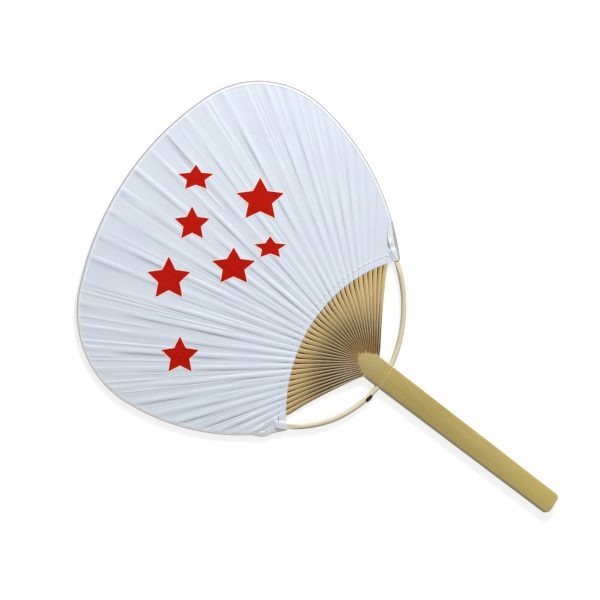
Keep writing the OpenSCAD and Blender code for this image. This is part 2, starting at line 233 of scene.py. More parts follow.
def new_piece(name, points, faces, replaces=(), attributes=None, uv=None, sharp=None):
    """A mesh object at the origin from an array of points in drawing millimetres and arrays of faces, each
    array for one number of corners. Attributes and uv have a value for each point."""
    mesh = bpy.data.meshes.new(name)
    points = to_frame(points.reshape(-1, 3))
    corners = np.concatenate([f.ravel() for f in faces])
    sizes = np.concatenate([np.full(len(f), f.shape[1]) for f in faces])
    mesh.vertices.add(len(points))
    mesh.vertices.foreach_set("co", points.ravel())
    mesh.loops.add(len(corners))
    mesh.loops.foreach_set("vertex_index", corners.astype(np.int32))
    mesh.polygons.add(len(sizes))
    mesh.polygons.foreach_set("loop_start", np.concatenate([[0], np.cumsum(sizes)[:-1]]).astype(np.int32))
    for key, values in (attributes or {}).items():
        layer = mesh.attributes.new(key, "FLOAT", "POINT")
        layer.data.foreach_set("value", np.asarray(values, np.float32).ravel())
    if uv is not None:
        layer = mesh.uv_layers.new(name="along")
        layer.data.foreach_set("uv", uv.reshape(-1, 2)[corners].astype(np.float32).ravel())
    mesh.update(calc_edges=True)
    mesh.shade_smooth()
    if sharp:
        mesh.set_sharp_from_angle(angle=math.radians(sharp))
    piece = bpy.data.objects.new(name, mesh)
    bpy.context.scene.collection.objects.link(piece)
    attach(piece, "root")
    if replaces:
        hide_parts(*replaces)
    print(f"{name}: {len(points)} points, {sum(sizes - 2)} triangles")
    return piece


def shell_faces(rows, cols):
    """Faces of a closed sheet: the shown grid, turned over, the grid behind it, and the border's wall."""
    grid, behind = grid_faces(rows, cols), rows * cols
    j, i = np.arange(cols), np.arange(rows)
    border = np.concatenate([j, i[1:] * cols + cols - 1, (rows - 1) * cols + j[::-1][1:],
                             i[::-1][1:-1] * cols])
    after = np.roll(border, -1)
    return [grid[:, ::-1], grid + behind, np.stack([border, after, after + behind, border + behind], -1)]


def flat(xy, z):
    """Points of the plane with a height each."""
    return np.concatenate([xy, np.broadcast_to(z, xy.shape[:-1])[..., None]], -1)


# %% [markdown]
# ## Handle
#
# The handle is a slat cut from the wall of a thick bamboo stem, so its face keeps the stem's round skin and
# its back is flat. The skin carries a raised ring at the node. A box with bevelled edges would have no such
# skin, so a section round the slat is carried up from the end to the tip of the tongue, all in one grid: the
# section's points are the columns, and each row is one height. Above the node the last rows bend into the
# tongue's arch, where the splits begin.

# %% Handle
FACE_COLS, SIDE_COLS = 41, 6
END_ROWS, SLAT_STEP, TONGUE_ROWS = 6, 3.0, 15
FINE_FROM, FINE_TO, FINE_STEP = 142, 152, 0.2
NODE_RING_H, NODE_SCAR_H, NODE_DIP = 0.24, 0.1, 0.06
slope = (HANDLE_NODE_W - HANDLE_END_W) / 2 / NODE_Y
tongue_y = NODE_Y + TONGUE_LEN
neck_w = HANDLE_END_W + 2 * slope * (tongue_y - TONGUE_DROP)


def tongue_edge(x):
    """Tongue's tip less its drop times the square of x over half the neck."""
    return tongue_y - TONGUE_DROP * (x / (neck_w / 2)) ** 2


def skin_z(x):
    """The stem's circle: half the slat less the radius, plus the root of radius squared less x squared."""
    return MID_Z - STEM_R + np.sqrt(STEM_R ** 2 - x ** 2)


def handle_grid():
    """Columns go round the section: skin, right edge, back and left edge. Both edges are planed off at 45
    degrees, the skin rises to the node's ring, and the back is pared behind the tongue. The rows are close
    together by the node, where the ring is."""
    y = np.concatenate([np.linspace(0, END_CUT, END_ROWS), np.arange(2 * END_CUT, FINE_FROM, SLAT_STEP),
                        np.arange(FINE_FROM, FINE_TO, FINE_STEP)])
    rise = np.concatenate([np.zeros(len(y)), np.linspace(0, 1, TONGUE_ROWS + 1)[1:]])
    y = np.concatenate([y, np.full(TONGUE_ROWS, y[-1])])[:, None]
    half = HANDLE_END_W / 2 + slope * y
    half = np.minimum(half, HANDLE_END_W / 2 - END_CUT + y + 0.3 * smooth(y))
    u = np.linspace(-1, 1, FACE_COLS)
    x_face = u * (half - EDGE_CUT)
    high, low = skin_z(half - EDGE_CUT), -MID_Z
    out = EDGE_CUT * np.array([0.1, 0.9, 1, 1, 0.9, 0.1])
    down = EDGE_CUT * np.array([0.05, 0.85, 1.1])
    x_side = half - EDGE_CUT + out
    x = np.concatenate([x_face, x_side, -x_face, -x_side], 1)
    z_side = np.concatenate([high - down, low + down[::-1] + 0 * high], 1)
    z = np.concatenate([skin_z(x_face), z_side, np.full_like(x_face, low), z_side[:, ::-1]], 1)
    end = tongue_edge(x)
    y = y + (end - y) * rise[:, None]
    pared = np.clip((y - NODE_Y - BOW_D) / (tongue_y - TONGUE_DROP - NODE_Y - BOW_D), 0, 1)
    floor = low + (SLAT_T - SPLIT_T) * pared
    z = np.maximum(z, floor)
    skin = np.zeros_like(x)
    skin[:, :FACE_COLS] = 1
    wobble = 0.12 * np.sin(1.3 * x) + 0.08 * np.sin(3.1 * x + 1)
    ring = np.exp(-((y - NODE_Y - wobble) / 0.36) ** 2) * (0.8 + 0.35 * np.sin(9 * x))
    scar = 0.25 * np.exp(-((y - NODE_Y - 2.6 - 2 * wobble) / 0.4) ** 2) * (1 + 0.8 * np.sin(7 * x))
    dip = np.exp(-((y - NODE_Y + 1.2) / 0.9) ** 2)
    z = z + skin * (NODE_RING_H * ring + NODE_SCAR_H * scar - NODE_DIP * dip)
    return np.stack([x, y, z], -1), skin, skin * np.clip(ring + scar, 0, 1)


def slat_caps(first):
    """Faces that close an end of the slat, counted from its first point: quads from the skin to the back, and
    one face at each edge. They look up the handle."""
    top = first + np.arange(FACE_COLS)
    back = first + FACE_COLS + SIDE_COLS + np.arange(FACE_COLS)[::-1]
    quads = np.stack([top[:-1], top[1:], back[1:], back[:-1]], -1)
    right = first + np.arange(FACE_COLS - 1, FACE_COLS + SIDE_COLS + 1)
    left = first + np.concatenate([np.arange(2 * FACE_COLS + SIDE_COLS - 1, slat_cols), [0]])
    return quads, right[None], left[None]


slat, slat_skin, slat_node = handle_grid()
slat_rows, slat_cols = slat.shape[:2]
slat_faces = [grid_faces(slat_rows, slat_cols, wrap=True), *turned(slat_caps(0)),
              *slat_caps((slat_rows - 1) * slat_cols)]
print(f"handle: {slat_rows} rows of {slat_cols} points, {slat[-1, :, 1].max():.1f} mm to the tongue's tip")

# %% [markdown]
# ## Ribs
#
# Each rib is a sliver of the slat. It leaves the tongue standing on edge, because the slat is split across
# its width, and it turns until it lies flat under the paper, where the thread holds it. Near the root the
# slivers are so close that the face looks like a shutter of thin lines, and only by the paper do they part.
# One rib repeated round a point would make them all alike, and the real ones differ in length, turn and tone.
# So all ribs are worked out as one array: rib, station along it, and point round its section.

# %% Ribs
TWIST_STEPS, FAR_STEPS = 26, 6
ROOT_IN = rng.uniform(1.0, 4.0, (RIB_COUNT, 1, 1))
SKIN_OVER, ROUND = -0.02, 0.1
UNDER_W, UNDER_T, ROOT_T, SLANT, TIP_THIN = 0.60, 0.5, 1.0, 0.6, 0.55
EDGE_STOPS = FLAT_RUN - np.array([0.5, 0.15])


def rib_grids():
    """Centre line: a curve of three points from the root to where the rib lies flat, then a straight run to
    the rim. The section's wide side turns from upright to level along the curve, by 90 degrees in all. As it
    was split and not sawn, a rib is a little wider and thicker on the side that turns under, which closes the
    slot beside it, until it goes in under the paper, and from there on it is thinner."""
    root_x = RIBS * neck_w / RIB_COUNT
    root = np.stack([root_x, tongue_edge(root_x)], -1)
    end = rib_from - FLAT_RUN * rib_u
    reach = np.linalg.norm(end - root, axis=-1, keepdims=True)
    bend = end - reach / 2 * rib_u
    s = np.linspace(0, 1, TWIST_STEPS)[None, :, None]
    curve = (1 - s) ** 2 * root[:, None] + 2 * s * (1 - s) * bend[:, None] + s ** 2 * end[:, None]
    heading = unit((1 - s) * (bend - root)[:, None] + s * (end - bend)[:, None])
    inside = root[:, None] - ROOT_IN * heading[:, :1]
    run = np.concatenate([np.broadcast_to(EDGE_STOPS, (RIB_COUNT, 2)),
                          FLAT_RUN + np.linspace(0, 1, FAR_STEPS) * rib_len[:, None]], 1)
    straight = end[:, None] + run[..., None] * rib_u[:, None]
    path = np.concatenate([inside, curve, straight], 1)
    heading = np.concatenate([heading[:, :1], heading, np.broadcast_to(rib_u[:, None], straight.shape)], 1)
    flat_steps = run.shape[1]
    share = np.concatenate([[0], s.ravel(), np.ones(flat_steps)])
    under = np.concatenate([[0], smooth((s.ravel() + 0.18) / 0.3), [1, 0], np.zeros(FAR_STEPS)])[:, None]
    thick = np.concatenate([np.ones(TWIST_STEPS + 3), [1], np.full(FAR_STEPS - 1, TIP_THIN)])
    turn = np.pi / 2 * share[None]
    height = (skin_z(root_x) - SKIN_OVER - RIB_W / 2)[:, None] * (1 - smooth(share))
    e = ROUND
    w = np.array([-1, -1 + e, 1 - e, 1, 1, 1 - e, -1 + e, -1])
    t = np.array([-0.5, -1, -1, -0.5, 0.5, 1, 1, 0.5])
    low = np.array([0, 0, 0, 0, 0.25, 1, 1, 0.8]) * under
    up, level = np.cos(turn).T, np.sin(turn).T
    w = w * (RIB_W / 2 + UNDER_W * low * level) - SLANT * low * up * (w > 0)
    t = t * RIB_T / 2 * thick[:, None] + low * (UNDER_T + ROOT_T * up)
    n = across(heading)
    wide = flat(n * level, up[:, 0])
    thin = flat(n * up, -level[:, 0])
    centre = np.concatenate([path, height[..., None]], -1)
    grid = centre[:, :, None] + w[..., None] * wide[:, :, None] + t[..., None] * thin[:, :, None]
    length = np.concatenate([np.zeros((RIB_COUNT, 1)),
                             np.cumsum(np.linalg.norm(np.diff(path, axis=1), axis=-1), 1)], 1)
    skin_edge = np.broadcast_to(np.arange(len(low.T)) // 2 == 1, grid.shape[:3])
    return grid, length, skin_edge, np.broadcast_to(low, grid.shape[:3])


ribs, rib_length, rib_skin, rib_under = rib_grids()
stations, around = ribs.shape[1:3]
print(f"ribs: {RIB_COUNT} of {stations} stations with {around} points round each")

# %% Handle and ribs as one piece
ROOT_BLEND, UV_PER_SIDE, UV_PER_RIB = 34.0, 0.9, 17.0


def on_both(slat_value, rib_value):
    """One value for each point, first the slat's and then the ribs'."""
    values = np.broadcast_to(slat_value, slat.shape[:2]), np.broadcast_to(rib_value, ribs.shape[:3])
    return np.concatenate([v.ravel() for v in values])


# Each rib's tone differs at random, and painted shade makes the ribs darker towards the left.
rib_tone_and_shading = np.clip(rng.normal(0.42, 0.2, RIB_COUNT) + 0.3 * RIBS / RIB_COUNT * 2, 0, 1)
rib_warm = rng.uniform(0, 0.5, RIB_COUNT)
root_red = 0.8 * np.exp(-((RIBS - 13) / 3.0) ** 2)[:, None] * np.exp(-((rib_length - 16) / 10) ** 2)
attributes = {
    "pale": on_both(0.4 * smooth((slat[..., 1] - NODE_Y + 2) / 18), 0),
    "skin": on_both(slat_skin, rib_skin),
    "under": on_both(0, rib_under),
    "node": on_both(slat_node, 0),
    # Painted light on the handle: its skin is lighter towards its end. On the ribs: random tone and painted
    # shade.
    "tone_and_shading": on_both(0.38 * (1 - smooth(slat[..., 1] / 130)), rib_tone_and_shading[:, None, None]),
    "warm": on_both(0, (rib_warm[:, None] * 0.6 + root_red)[..., None]),
    "rib": on_both(0, smooth(rib_length / ROOT_BLEND)[..., None]),
}
rib_u_along = np.arange(around) * UV_PER_SIDE + (np.arange(RIB_COUNT) * UV_PER_RIB)[:, None, None]
rib_uv = np.stack(np.broadcast_arrays(rib_u_along, rib_length[..., None]), -1)
slat_uv = slat[..., :2] + [0, -200]
points, faces = joined([(slat, slat_faces), *((rib, rod_faces(stations, around)) for rib in ribs)])
bamboo_piece = new_piece("handle_with_ribs", points, faces, ["handle_and_ribs"], attributes,
                         np.concatenate([slat_uv.reshape(-1, 2), rib_uv.reshape(-1, 2)]), sharp=35)

# %% [markdown]
# ## Bow
#
# The bow is a thin stick of bamboo, scraped round and bent through a hole at the node. Towards its ends it is
# pared flat, so that the paper lies close over it, and low on the left it keeps a dark scar where a twig was
# cut off. A curve with a round bevel would bend as well, but it can't be pared on two sides only. So the bow
# is a circle carried along an arc, and its height is cut off towards the ends.

# %% Bow
bow_y = NODE_Y + BOW_H
bow_x = CORNER_W / 2 - BOW_IN
bow_sag = edge_c[1] + math.sqrt(EDGE_R ** 2 - bow_x ** 2) - bow_y
bow_r = (bow_x ** 2 + bow_sag ** 2) / (2 * bow_sag)
bow_c = np.array([0, bow_y + bow_r])
bow_edge_a = math.asin(bow_x / bow_r)
BOW_PAST, TIP_LEAD = 5.6, 0.5
bow_end_a = bow_edge_a + BOW_PAST / bow_r
BOW_WIDE, RIGHT_IN = 1.14, 1.3
BOW_ROWS, BOW_SIDES = 241, 32


def bow_grid():
    """Point: the bow's centre plus (radius + out) along its angle, and a height. Out and height follow an
    oval, the height is cut off at half the thickness, and the scar swells the outer side. The right half is
    bent a little tighter, by the sine of its share of the way."""
    a = np.linspace(-bow_end_a, bow_end_a, BOW_ROWS)[:, None]
    t = np.linspace(0, 2 * np.pi, BOW_SIDES, endpoint=False)[None]
    left = (bow_edge_a - np.abs(a)) * bow_r - TIP_LEAD
    top = BOW_TIP_T / 2 + (BOW_D - BOW_TIP_T) / 2 * np.clip(left / BOW_TIP_RAMP, 0, 1)
    run = a * bow_r
    wave = 1 + 0.02 * np.sin(run / 9) + 0.015 * np.sin(run / 3.7 + 2)
    share = (run + SCAR_RUN) / (SCAR_LEN / 2 + 0.6)
    scar = np.clip(1 - np.abs(share) ** 3, 0, 1) * np.clip(0.35 + np.cos(t), 0, 1)
    rough = 1.2 + 0.2 * np.sin(5 * run + 3 * t)
    wide = 1 + (BOW_WIDE - 1) * smooth((np.abs(run) - 4) / 12) * smooth(left / 8 + 0.3)
    out = BOW_D / 2 * wide * wave * np.cos(t) + SCAR_RISE * scar * rough * np.clip(np.cos(t), 0, 1)
    z = np.clip(BOW_D / 2 * wave * np.sin(t), -top, top)
    r = bow_r + out - RIGHT_IN * np.sin(np.pi * np.clip(a / bow_edge_a, 0, 1))
    return (np.stack([r * np.sin(a), bow_y + bow_r - r * np.cos(a), z + 0 * a], -1),
            scar + 0 * run, np.stack(np.broadcast_arrays(t * BOW_D / 2, run), -1))


bow, bow_scar, bow_uv = bow_grid()
bow_piece = new_piece("bow_stick", bow, turned(rod_faces(*bow.shape[:2])), ["bow"],
                      {"scar": bow_scar}, bow_uv, sharp=40)

# %% [markdown]
# ## Weaving thread
#
# Two rows of cotton thread pass over and under the ribs, each over the ribs that the other goes under, and
# are wound round the bow's ends. A curve drawn by hand would have to be put right whenever a rib moves. So a
# row is a wave along the weaving line, with one half wave to each rib, whose bearings it takes from the ribs
# themselves, and the winding is a coil round the bow's pared end.

# %% Weaving thread
THREAD_D, THREAD_WAVE, ROW_STEP, COIL_TURNS = 0.24, 0.34, 0.14, 3
THREAD_SIDES, THREAD_STEPS, COIL_STEPS = 6, 560, 120
row_x = (WEAVE_R ** 2 - bow_r ** 2 - edge_c[1] ** 2 + bow_c[1] ** 2) / 2 / (bow_c[1] - edge_c[1])
wrap_a = math.acos((bow_c[1] - row_x) / bow_r)
rib_cross = line_to_circle(rib_from, rib_u, edge_c, WEAVE_R)
cross_a = bearing(rib_from + rib_cross[:, None] * rib_u - edge_c)


def tube(path):
    """Points of a tube round a path: the path plus a circle across its direction."""
    ahead = unit(np.gradient(path, axis=0))[:, None]
    side = unit(np.cross(ahead, [0.3, 0.2, 1.0]))
    a = np.linspace(0, 2 * np.pi, THREAD_SIDES, endpoint=False)[:, None]
    return path[:, None] + THREAD_D / 2 * (side * np.cos(a) + np.cross(ahead, side) * np.sin(a))


def thread_paths():
    """The rows: bearing from the first rib's to the last one's and a little beyond, with a height of cosine
    of pi times the rib's number. The coils: a turn round an oval across the bow, moving along it."""
    reach = cross_a[-1] + 0.04
    a = np.linspace(-reach, reach, THREAD_STEPS)
    number = np.interp(a, cross_a, np.arange(RIB_COUNT))
    paths = [flat(polar(edge_c, WEAVE_R + way * ROW_STEP, a), way * THREAD_WAVE * np.cos(np.pi * number))
             for way in (-1, 1)]
    turn = np.linspace(0, 2 * np.pi * COIL_TURNS, COIL_STEPS)
    for side in (-1, 1):
        along = side * wrap_a + (turn / turn[-1] - 0.5) * COIL_TURNS * 1.1 * THREAD_D / bow_r
        r = bow_r + (BOW_D / 2 + THREAD_D / 2) * np.cos(turn)
        oval = np.stack([r * np.sin(along), bow_c[1] - r * np.cos(along),
                         (BOW_TIP_T + THREAD_D) / 2 * np.sin(turn)], -1)
        paths.append(oval)
    return paths


strands = [tube(path) for path in thread_paths()]
points, faces = joined([(strand, rod_faces(*strand.shape[:2])) for strand in strands])
thread_piece = new_piece("woven_thread", points, faces, ["weaving_thread"])

# %% [markdown]
# ## Paper
#
# Wet paper pulled over the ribs dries tight: it drops steeply at both edges of each rib, now more and now
# less, and then sags a little to the next rib. Between the ribs run shorter and finer creases. The thread
# that holds the ribs shows as one short dash over each rib. A cloth simulation would give softer folds than
# tight paper has, so all of this is one height formula, used by both sheets, the stars and the rim's strip,
# and each lies exactly on the other. The columns run along the ribs' edges, where the height changes most.

# %% Height of the paper
SAG, SAG_SHARE, SAG_RUN = 0.10, 0.05, 5.5
PITCH_GROWS = 55.0
EDGE_H, FLANK_NEAR, FLANK_FAR = 0.19, 0.34, 0.52
CREASE_H, CREASE_RUN, CREASE_SOFT, CREASES = 0.27, 0.42, 0.12, 3
DASH_H, DASH_W, DASH_LEN = 0.45, 0.45, 3.1
PAD_H, PAD_HALF, PAD_SOFT = BOW_TIP_T / 2 + 0.3, BOW_D / 2, 2.2
FADE, SWAY, SWAY_X, SWAY_Y = 3.0, 0.05, 17, 29
STEP_WAVES, CREASE_END, PAD_END, PAD_FADE = (21, 8), 12, 7, 3
FAR_AT = 150.0
LEFT_MORE = 0.15
more_left = 1 - LEFT_MORE * RIBS[:, None] * 2 / RIB_COUNT
edge_h = EDGE_H * np.clip(rng.normal(1, 0.25, (RIB_COUNT, 2)), 0.5, 1.5) * more_left
edge_phase = rng.uniform(0, 2 * np.pi, (RIB_COUNT, 2, 2))
GAPS, GAP_COLS = RIB_COUNT - 1, 12
CREASE_COLS, CREASE_STEP = np.array([2, 6, 10]), 0.4
crease_far = np.array([0.24, 0.5, 0.78]) + rng.uniform(-0.08, 0.08, (GAPS, CREASES))
crease_h = CREASE_H * rng.uniform(0.25, 1.0, (GAPS, CREASES)) * rng.choice([-0.6, 1, 1], (GAPS, CREASES))
crease_h = crease_h * more_left[:-1]
crease_mid = rng.uniform(10, 150, (GAPS, CREASES))
crease_len = rng.uniform(35, 110, (GAPS, CREASES))


def rib_line(k, near, far):
    """Two points of a line beside rib k: near mm to its right at the paper's edge, and far mm far out."""
    return rib_from[k] + near * rib_n[k], rib_from[k] + FAR_AT * rib_u[k] + far * rib_n[k]


def column_lines():
    """Origin and direction of the columns of each rib, on its edges and its flanks, and of the columns in
    each gap, which are even at the lower edge and far out crowd round the creases."""
    half = RIB_W / 2
    near = half + FLANK_NEAR * np.array([1, 0.5, 0])
    far = half + FLANK_FAR * np.array([1, 0.5, 0])
    near, far = np.concatenate([-near, [0], near[::-1]]), np.concatenate([-far, [0], far[::-1]])
    share = np.arange(1, GAP_COLS + 1)[:, None] / (GAP_COLS + 1)
    groups, creases = [], []
    for k in range(RIB_COUNT):
        lines = [rib_line(k, n, f) for n, f in zip(near, far)]
        start, end = np.array(lines).transpose(1, 0, 2)
        groups.append((start, end))
        if k < GAPS:
            next_start, next_end = rib_line(k + 1, near[0], far[0])
            width = np.linalg.norm(next_end - end[-1])
            to = share.copy()
            for column, middle in zip(CREASE_COLS, crease_far[k]):
                to[column - 1:column + 2, 0] = middle + CREASE_STEP * np.array([-1, 0, 1]) / width
            to = np.sort(to, axis=0)
            gap_start = start[-1] * (1 - share) + next_start * share
            gap_end = end[-1] * (1 - to) + next_end * to
            groups.append((gap_start, gap_end))
            at = [np.abs(to[:, 0] - middle).argmin() for middle in crease_far[k]]
            creases.append((gap_start[at], gap_end[at]))
    start, end = (np.concatenate([g[i] for g in groups]) for i in (0, 1))
    fold_start, fold_end = (np.concatenate([c[i] for c in creases]) for i in (0, 1))
    return start, unit(end - start), fold_start, unit(fold_end - fold_start)


column_from, column_u, crease_from, crease_u = column_lines()
crease_n = across(crease_u)
print(f"{len(column_u)} columns for the ribs and the gaps between them, and {len(crease_u)} creases")


def crest(d, run):
    """e to the minus distance over a run, rounded at its top."""
    return np.exp((CREASE_SOFT - np.sqrt(d ** 2 + CREASE_SOFT ** 2)) / run)


def paper_z(p):
    """Height of the front sheet's face over the head's middle plane: the paper, half a rib under it, the sag
    to each side of every rib, the step up to every rib's two edges, the creases that are within their own
    stretch, a dash on each rib along the weaving line, and a pad over the ends of the bow. All of it but the
    paper fades out at the rim."""
    shape = p.shape[:-1]
    p = p.reshape(-1, 2)
    ring = np.linalg.norm(p - edge_c, axis=-1) - EDGE_R
    gap = np.maximum(RIB_PITCH * (1 + ring / PITCH_GROWS) - RIB_W, 0.3)
    sag, sag_run = np.minimum(SAG, SAG_SHARE * gap), np.minimum(gap / 2, SAG_RUN)
    base, fine = np.full(len(p), -1.0), np.zeros(len(p))
    dash_line = np.exp(-((ring - WEAVE_R + EDGE_R) / DASH_W) ** 4)
    dash = np.zeros(len(p))
    for k in range(RIB_COUNT):
        way = p - rib_from[k]
        d, t = way @ rib_n[k], way @ rib_u[k]
        base = np.maximum(base, RIB_T / 2 - sag * smooth((np.abs(d) - RIB_W / 2) / sag_run))
        flank = FLANK_NEAR + (FLANK_FAR - FLANK_NEAR) * np.clip(t / FAR_AT, 0, 1)
        waves = np.sin(t / np.array(STEP_WAVES)[:, None] + edge_phase[k][..., None])
        left, right = edge_h[k][:, None] * np.clip(0.75 + 0.5 * waves[:, 0] + 0.35 * waves[:, 1], 0.1, 1.5)
        step = left + (right - left) * np.clip(d / RIB_W + 0.5, 0, 1)
        fine = np.maximum(fine, step * smooth((RIB_W / 2 + flank - np.abs(d)) / flank))
        dash = np.maximum(dash, smooth(1.6 * (DASH_LEN / 2 - np.abs(d))) * (t > -FLAT_RUN))
    for k in range(len(crease_u)):
        way = p - crease_from[k]
        d, t = way @ crease_n[k], way @ crease_u[k]
        half, middle = crease_len.ravel()[k] / 2, crease_mid.ravel()[k]
        window = smooth((half - np.abs(t - middle)) / CREASE_END)
        fine = fine + crease_h.ravel()[k] * window * np.minimum(gap / 4, 1) * crest(d, CREASE_RUN)
    rise = smooth(-rim_gap(p) / FADE)
    from_bow = np.abs(np.linalg.norm(p - bow_c, axis=-1) - bow_r)
    pad = PAD_H * (1 - smooth((from_bow - PAD_HALF) / PAD_SOFT)) * (ring > -1)
    pad = pad * (1 - smooth((ring - PAD_END) / PAD_FADE))
    sway = SWAY * np.sin(p[:, 0] / SWAY_X + 1) * np.sin(p[:, 1] / SWAY_Y)
    body = (base + fine + sway) * rise + DASH_H * dash_line * dash
    return (PAPER_T + np.maximum(body, pad)).reshape(shape)


# %% The sheet's grid
NEAR_ROWS, FAR_ROWS, NEAR_STEP, SHORT_COLUMN = 31, 82, 0.3, 30
MARGIN_COLS, MARGIN_LEAN = 15, 0.75
INNER_STEP = 8


def paper_lines():
    """Origin and direction of every column: those of the ribs and gaps, and beyond the outermost ribs
    columns at shares of the way to the corner, which lean outwards there like the outline."""
    origins, ways = [], []
    corner_a = bearing(corner - edge_c)
    for side in (-1, 1):
        g = np.linspace(0.012, 1, MARGIN_COLS, endpoint=False)[:, None]
        k = 0 if side < 0 else RIB_COUNT - 1
        rib_edge_a = bearing(rib_from[k] + side * (RIB_W / 2 + FLANK_NEAR) * rib_n[k] - edge_c)
        a = side * corner_a + (rib_edge_a - side * corner_a) * g
        tangent = unit(np.array([side * MARGIN_LEAN, 1.0]))
        order = slice(None) if side < 0 else slice(None, None, -1)
        origins.append(polar(edge_c, EDGE_R, a[:, 0])[order])
        ways.append(unit(tangent + (rib_u[k] - tangent) * g)[order])
    return np.concatenate([origins[0], column_from, origins[1]]), np.concatenate([ways[0], column_u, ways[1]])


def paper_plan():
    """Plan of the sheet: rows near the lower edge are 0.3 mm apart, to draw the dashes, and closer on short
    columns. The others share the way to the rim."""
    o, w = paper_lines()
    first = line_to_circle(o, w, edge_c, EDGE_R)
    o = o + first[:, None] * w
    length = line_to_rim(o, w, TAPE_T)
    near = np.arange(NEAR_ROWS)[:, None] * NEAR_STEP * np.minimum(1, length / SHORT_COLUMN)
    far = near[-1] + (length - near[-1]) * (np.arange(1, FAR_ROWS + 1) / FAR_ROWS)[:, None]
    t = np.concatenate([near, far])
    return o + t[..., None] * w


plan = paper_plan()
paper_rows, paper_cols = plan.shape[:2]
height = paper_z(plan)
print(f"paper: {paper_rows} rows of {paper_cols} points, {height.min():.2f} to {height.max():.2f} mm high")


def spaced(n):
    """Every so many of n places, and always the last one."""
    return np.append(np.arange(0, n - 1, INNER_STEP), n - 1)


def sheet_faces(rows, cols):
    """Faces of a closed sheet: a fine grid for the side that shows, a coarse one for the side that is pasted
    down, and a wall of one face to each coarse step of the border."""
    i, j = spaced(rows), spaced(cols)
    n = rows * cols
    fine = np.concatenate([np.arange(cols), np.arange(1, rows) * cols + cols - 1,
                           (rows - 1) * cols + np.arange(cols)[::-1][1:], np.arange(rows)[::-1][1:] * cols])
    a, b = np.arange(len(i)) * len(j) + n, np.arange(len(j)) + n
    last = len(i) - 1
    coarse = np.concatenate([b, a[1:] + len(j) - 1, b[::-1][1:] + last * len(j), a[::-1][1:]])
    marks = np.concatenate([j, cols - 1 + i[1:], cols - 1 + rows - 1 + (cols - 1 - j[::-1])[1:],
                            2 * (cols - 1) + rows - 1 + (rows - 1 - i[::-1])[1:]])
    wall = [np.concatenate([fine[s:e + 1][::-1], coarse[k:k + 2]])[None]
            for k, (s, e) in enumerate(zip(marks[:-1], marks[1:]))]
    return [grid_faces(rows, cols), grid_faces(len(i), len(j))[:, ::-1] + n] + wall


# %% Front and back sheets
PASTED_Z = 0.02
inside = plan[np.ix_(spaced(paper_rows), spaced(paper_cols))].reshape(-1, 2)
sheet = np.concatenate([flat(plan, height).reshape(-1, 3), flat(inside, PASTED_Z)])
faces = sheet_faces(paper_rows, paper_cols)
front_piece = new_piece("front_sheet", sheet, faces, ["front_paper"], sharp=50)
back_piece = new_piece("back_sheet", sheet * [1, 1, -1], turned(faces), ["back_paper"],
                       sharp=50)

# %% [markdown]
# ## Rim strip
#
# A narrow strip of the same paper is folded over the edge of the head and pasted down on both faces. Bending
# a flat strip would leave gaps, so a small hook-shaped section is carried round the outline. Low on the left
# it has come loose and stands off as a slim loop. At each lower corner a wider piece is folded over the rim
# and the end of the bow, and on the left one more small piece is folded over the lower edge beside it.

# %% Rim strip
RIM_STATIONS = 1300
FOLD_IN, FOLD_OUT, FOLD_STEPS = 0.55, 0.0, 9
RIM_INSETS = [TAPE_W, 2.0, 1.4, 0.9, FOLD_IN]
LOOP_AT, LOOP_HALF, LOOP_OUT, LOOP_LIFT = np.array([-81.0, 195.4]), 9.5, 1.7, 0.5


def outline_points(n):
    """n points round the outline from the left corner over the top to the right one, evenly spaced, and the
    outward direction at each: three arcs, mirrored."""
    arcs = [(top_c, TOP_R, 0, TOP_END), (shoulder_c, SHOULDER_R, TOP_END, SHOULDER_END),
            (side_c, SIDE_R, SHOULDER_END, CORNER_A)]
    runs = np.cumsum([0] + [r * (b - a) for _, r, a, b in arcs])
    s = np.abs(np.linspace(-runs[-1], runs[-1], n))
    p, out = np.zeros((n, 2)), np.zeros((n, 2))
    for (c, r, a, b), start, stop in zip(arcs, runs, runs[1:]):
        use = (s >= start) & (s <= stop)
        angle = a + (s[use] - start) / r
        p[use], out[use] = polar(c, r, angle), polar([0, 0], 1.0, angle)
    sign = np.where(np.linspace(-1, 1, n) < 0, -1, 1)[:, None]
    return p * np.concatenate([sign, sign ** 2], 1), out * np.concatenate([sign, sign ** 2], 1)


def folded_over(edge, out, inset, lift, over, face):
    """Section from the front's inner edge round the fold to the back's inner edge. On the faces it lies lift
    over the paper, and the fold is half an oval that stands over beyond the edge. inset is how far each
    column lies inside the edge. face is 1 for the strip's outside and 0 for its pasted side."""
    on_face = edge[:, None] - inset[..., None] * out[:, None]
    z = paper_z(on_face) + lift + TAPE_T * face
    fold_a = np.linspace(0, np.pi, FOLD_STEPS)[1:-1]
    z_fold = z[:, -1:] * np.cos(fold_a)
    last = inset[:, -1:]
    reach = (last + over - 0.15 * (1 - face)) * np.sin(fold_a) - last
    wrap = edge[:, None] + reach[..., None] * out[:, None]
    return np.concatenate([flat(on_face, z), flat(wrap, z_fold), flat(on_face, -z)[:, ::-1]], 1)


edge, edge_out = outline_points(RIM_STATIONS)
step_mm = np.linalg.norm(edge[1] - edge[0])
loose = smooth(1 - np.linalg.norm(edge - LOOP_AT, axis=-1) / LOOP_HALF)
loop_edge = edge + LOOP_OUT * loose[:, None] * edge_out
rim_inset = np.broadcast_to(RIM_INSETS, (RIM_STATIONS, len(RIM_INSETS)))
rim_lift = LOOP_LIFT * loose[:, None] * np.array([1.0, 0.8, 0.5, 0.2, 0])
rim = np.stack([folded_over(loop_edge, edge_out, rim_inset, rim_lift, FOLD_OUT, face) for face in (1, 0)])
rim_rows, rim_cols = rim.shape[1:3]
inner = np.broadcast_to(np.abs(np.linspace(-1, 1, rim_cols)), (2, rim_rows, rim_cols))
